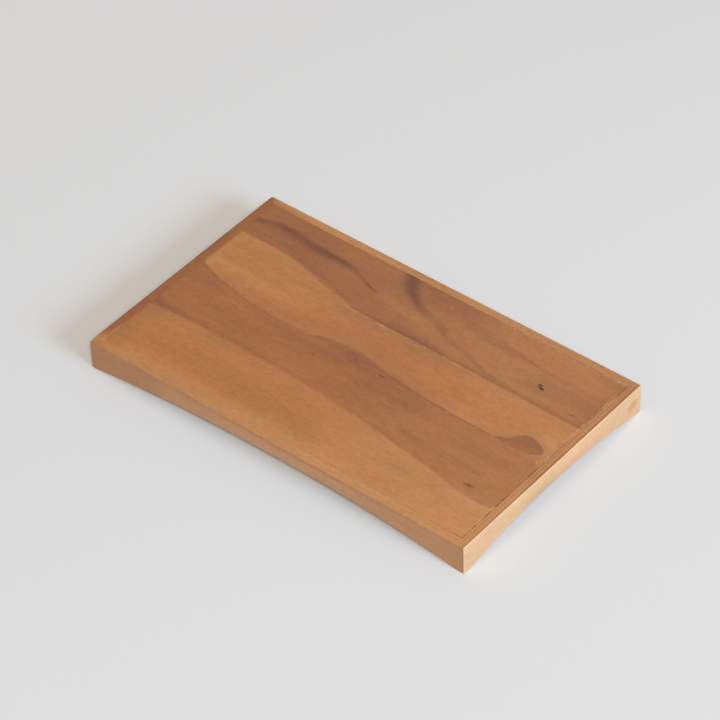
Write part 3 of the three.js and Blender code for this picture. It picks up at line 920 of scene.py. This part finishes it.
# The right rail: striped on top, and cream outside with a round knot near its back end.
RIGHT_RAIL_GRAIN = (0, 400, 0)
RIGHT_ARRIS_BLEND = (0.3, 0.7)
RIGHT_ARRIS_HIGHLIGHT = (20.6, 21.6)
RIGHT_CORNER_HIGHLIGHT = (-89.8, -89.4)
STRIPE_STRETCH = (0.012, 1.1, 1.1)
STRIPE_BLEND = (0.42, 0.68)
FACE_KNOT_CENTRE = (81.0, 0, 11.2)
FACE_KNOT_HALF_SIZE = (7.0, 4, 4.6)
FACE_KNOT_RAGGEDNESS = 0.7
right_place = rail_place(RIGHT, 90)
right_rail_wood, tree, point, along, depth = new_rail_wood("right_rail_wood", right_place)
height = axis(tree, point, "Z")
paling = traced(tree, along, [(-90, 1), (0, 0.5), (90, 0)])
top_colour = lay(tree, paling, RAIL_ROSE, RAIL_GOLD)
stripes = stretched_noise(tree, point, STRIPE_STRETCH, detail=2.0)
top_colour = lay(tree, fade(tree, stripes, *STRIPE_BLEND, low=0.0, high=0.45), top_colour, RAIL_LINE)
# The pale chips along the seam at the back end are partly painted glints.
top_colour = smoke(
    tree, point, (along, depth), top_colour,
    (RAIL_UMBER, 0.9, 0.7, [(-90, 1.1), (90, 1.15)],
     [(-90, 0.4), (-50, 0.45), (0, 0.7), (60, 0.7), (90, 0.35)]),
    (RAIL_LINE, 0.5, 0.5, [(-90, 4), (0, 4.3), (90, 4.1)], [(-90, 0.3), (10, 0.5), (50, 0.6), (90, 0.3)]),
    (RAIL_UMBER, 1.5, 1.2, [(70, 5.7), (90, 5.2)], [(70, 0), (77, 0.45), (84, 0.4), (90, 0)]),
    (PALE_CHIP_AND_GLINT, 0.8, 1.2, [(30, 6.1), (72, 6)],
     [(30, 0), (37, 0.8), (42, 0.7), (47, 0.4), (52, 0.7), (57, 0.5), (61, 0.85), (66, 0.8), (72, 0)]))
outside = smoke(
    tree, point, (along, height), OUTSIDE_CREAM,
    (CREAM_DARK, 12, 5, [(-90, -1), (0, 7.5), (90, -1)],
     [(-90, 0.05), (-40, 0.3), (0, 0.75), (40, 0.45), (90, 0.25)]))
feeds = {"Point": point, "Centre": FACE_KNOT_CENTRE, "Half Size": FACE_KNOT_HALF_SIZE,
         "Ragged": FACE_KNOT_RAGGEDNESS}
outside = lay(tree, add(tree, "Group", feeds, node_tree=wood_knot).outputs[0], outside, KNOT_TAN)
# Painted highlights: a pale band along the top arris and a pale line down the front corner, lit by the
# window.
outside = lay(tree, fade(tree, height, *RIGHT_ARRIS_HIGHLIGHT, low=0.0, high=0.7), outside, PAINTED_HIGHLIGHT_CREAM)
outside = lay(tree, fade(tree, along, *RIGHT_CORNER_HIGHLIGHT, low=1.0, high=0.0), outside, PAINTED_HIGHLIGHT_CREAM)
colour = lay(tree, fade(tree, depth, *RIGHT_ARRIS_BLEND), outside, top_colour)
oiled(tree, colour, point, RIGHT_RAIL_GRAIN, mottle=0.06)
right_rail_mesh = mitred_rail(
    SHORT_RAIL, SHORT_ARCH_RISE, CORNER_RADIUS, CORNER_RADIUS, CRISP_ARRIS, right_place)
right_rail = finished("right_rail_mitred", right_rail_mesh, right_rail_wood)

# The back rail: tan, chipped along its seam at the right with painted glints there, and brown towards the
# left.
BACK_RAIL_GRAIN = (0, 600, 0)
BACK_BROWN_END = (138, 149)
back_place = rail_place(BACK, 180)
back_rail_wood, tree, point, along, depth = new_rail_wood("back_rail_wood", back_place)
paling = traced(tree, along, [(-150, 0), (0, 0.5), (150, 1)])
colour = smoke(
    tree, point, (along, depth), lay(tree, paling, BACK_RAIL_TAN, BACK_RAIL_GOLD),
    (PALE_CHIP_AND_GLINT, 0.8, 1.2, [(-146, 5.9), (-118, 5.8)],
     [(-146, 0.2), (-138, 0.8), (-133, 0.5), (-128, 0.8), (-118, 0)]),
    (RAIL_BROWN, 6, 6, [(90, 7.5), (150, 7.4)], [(90, 0), (115, 0.35), (132, 0.8), (150, 1)]))
colour = lay(tree, fade(tree, along, *BACK_BROWN_END, low=0.0, high=0.8), colour, RAIL_BROWN)
oiled(tree, colour, point, BACK_RAIL_GRAIN)
back_rail_mesh = mitred_rail(
    LONG_RAIL, LONG_ARCH_RISE, CORNER_RADIUS, RUBBED_CORNER_RADIUS, SOFT_ARRIS, back_place)
back_rail = finished("back_rail_mitred", back_rail_mesh, back_rail_wood)

# The left rail: brown, with painted shade along its outer edge, and rubbed pale at the front.
LEFT_RAIL_GRAIN = (0, 800, 0)
LEFT_EDGE_SHADE = (0.3, 2.2)
left_place = rail_place(LEFT, -90)
left_rail_wood, tree, point, along, depth = new_rail_wood("left_rail_wood", left_place)
rubbing = traced(tree, along, [(-90, 0), (66, 0), (78, 0.4), (84, 0.9), (90, 1)])
# Painted shade: the top darkens towards its outer edge, which turns away from the light.
colour = lay(tree, fade(tree, depth, *LEFT_EDGE_SHADE, low=0.6, high=0.0), RAIL_BROWN, RAIL_UMBER)
colour = smoke(
    tree, point, (along, depth), colour,
    (RAIL_UMBER, 6, 6, [(0, 3.5), (80, 3.4)], [(0, 0), (25, 0.15), (60, 0.2), (80, 0)]))
colour = lay(tree, rubbing, colour, RAIL_TAN)
# The pale chips along the seam at the front are partly painted glints.
colour = smoke(
    tree, point, (along, depth), colour,
    (PALE_CHIP_AND_GLINT, 0.8, 1.2, [(64, 5.8), (90, 5.7)],
     [(64, 0), (69, 0.4), (75, 0.4), (78, 0.1), (81, 0.3), (83.5, 0.6), (86, 0.2), (90, 0)]))
oiled(tree, colour, point, LEFT_RAIL_GRAIN)
left_rail_mesh = mitred_rail(
    SHORT_RAIL, SHORT_ARCH_RISE, RUBBED_CORNER_RADIUS, WORN_CORNER_RADIUS, SOFT_ARRIS, left_place)
rub_corner(left_rail_mesh, front_left_corner)
left_rail = finished("left_rail_mitred", left_rail_mesh, left_rail_wood)

for rail, node in ((front_rail, "front_rail"), (right_rail, "right_rail"), (back_rail, "back_rail"),
                   (left_rail, "left_rail")):
    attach(rail, "root")
    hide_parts(node)


# The splines: small loose tongues of the same wood, glued across the mitres where nobody sees them.
# They are sawn, not polished, so they keep the plain shape of the frame and get bare wood.
SAWN_DARK = paint(170, 113, 66)
SAWN_PALE = paint(194, 138, 88)
SAWN_STRETCH = (0.6, 0.6, 0.05)
SAWN_ROUGHNESS = 0.7
SPLINE_GRAIN = (0, 1000, 0)

spline_wood, tree, point = new_wood("spline_bare_wood")
sawn_streaks = stretched_noise(tree, point, SAWN_STRETCH, detail=2.0)
colour = lay(tree, sawn_streaks, SAWN_DARK, SAWN_PALE)
oiled(tree, colour, point, SPLINE_GRAIN, roughness=SAWN_ROUGHNESS)
for corner in ("front_left", "front_right", "back_right", "back_left"):
    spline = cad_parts[corner + "_spline"]
    spline.data.materials.clear()
    spline.data.materials.append(spline_wood)


# The studio: a pale matt floor without an edge in sight, in a warm room that is brighter behind the tray.
# Daylight from a window low on the right puts a soft shadow on the left, and a soft fill light stands by
# the camera.
FLOOR_SIZE = 12.0
FLOOR_NEAR = (0.731, 0.731, 0.731, 1)
FLOOR_FAR = (0.772, 0.772, 0.772, 1)
FLOOR_BLEND = (-0.5, 0.5)
ROOM_IN_FRONT = (0.257, 0.195, 0.151, 1)
ROOM_BEHIND = (0.457, 0.347, 0.269, 1)
ROOM_BLEND = (-0.6, 0.6)
DAYLIGHT = (0.55, 0.754, 1.0)
FILL_LIGHT = (0.954, 1.0, 0.965)

floor_mesh = bmesh.new()
bmesh.ops.create_grid(floor_mesh, x_segments=1, y_segments=1, size=FLOOR_SIZE / 2)
floor_data = bpy.data.meshes.new("floor")
floor_mesh.to_mesh(floor_data)
floor_mesh.free()
floor_paint = bpy.data.materials.new("floor_paint")
floor_paint.use_nodes = True
tree = floor_paint.node_tree
tree.nodes.clear()
backwards = axis(tree, add(tree, "TexCoord").outputs["Object"], "Y")
# The floor is painted a little lighter towards the back, evening out the light's fall-off there.
colour = lay(tree, fade(tree, backwards, *FLOOR_BLEND), FLOOR_NEAR, FLOOR_FAR)
shader = add(tree, "BsdfPrincipled", {"Base Color": colour, "Roughness": 0.9, "Specular IOR Level": 0.1})
add(tree, "OutputMaterial", {"Surface": shader.outputs[0]})
floor_data.materials.append(floor_paint)
floor = bpy.data.objects.new("floor", floor_data)
bpy.context.scene.collection.objects.link(floor)

room = bpy.data.worlds.new("warm_room")
room.use_nodes = True
tree = room.node_tree
backwards = axis(tree, add(tree, "TexCoord").outputs["Generated"], "Y")
room_colour = lay(tree, fade(tree, backwards, *ROOM_BLEND), ROOM_IN_FRONT, ROOM_BEHIND)
tree.links.new(room_colour, tree.nodes["Background"].inputs["Color"])
bpy.context.scene.world = room


def aimed(swing, elevation):
    """The turn of what looks at the tray from a swing round it and an elevation, both in degrees."""
    swung = Matrix.Rotation(math.radians(swing), 4, "Z")
    return swung @ Matrix.Rotation(math.radians(90 - elevation), 4, "X")


def soft_light(name, swing, elevation, distance, width, height, watts, colour):
    """A large soft light on the tray, that the camera doesn't see."""
    lamp = bpy.data.lights.new(name, "AREA")
    lamp.shape = "RECTANGLE"
    lamp.size = width
    lamp.size_y = height
    lamp.energy = watts
    lamp.color = colour
    light = bpy.data.objects.new(name, lamp)
    light.matrix_world = aimed(swing, elevation) @ Matrix.Translation((0, 0, distance))
    light.visible_camera = False
    bpy.context.scene.collection.objects.link(light)


soft_light("window", swing=85, elevation=24, distance=9.0, width=3.5, height=2.53,
           watts=625, colour=DAYLIGHT)
soft_light("fill", swing=43, elevation=45, distance=7.0, width=1.5, height=1.5,
           watts=316, colour=FILL_LIGHT)
bpy.context.scene.view_settings.view_transform = "Standard"


# The camera stands to the front right of the tray, well back and above it, and looks down at the top and at
# the two outer faces through a long lens, so that the edges hardly draw together.
CAMERA_SWING = 40.19
CAMERA_ELEVATION = 42.51
CAMERA_ROLL = -1.715
CAMERA_OFFSET = Vector((-0.0023, 0.018, 2.29525))
SENSOR_WIDTH = 36.0
LONG_LENS = 181.886

camera_lens = bpy.data.cameras.new("camera")
camera_lens.sensor_width = SENSOR_WIDTH
camera_lens.lens = LONG_LENS
camera = bpy.data.objects.new("camera", camera_lens)
rolled = Matrix.Rotation(math.radians(CAMERA_ROLL), 4, "Z")
camera.matrix_world = aimed(CAMERA_SWING, CAMERA_ELEVATION) @ rolled @ Matrix.Translation(CAMERA_OFFSET)
bpy.context.scene.collection.objects.link(camera)
bpy.context.scene.camera = camera
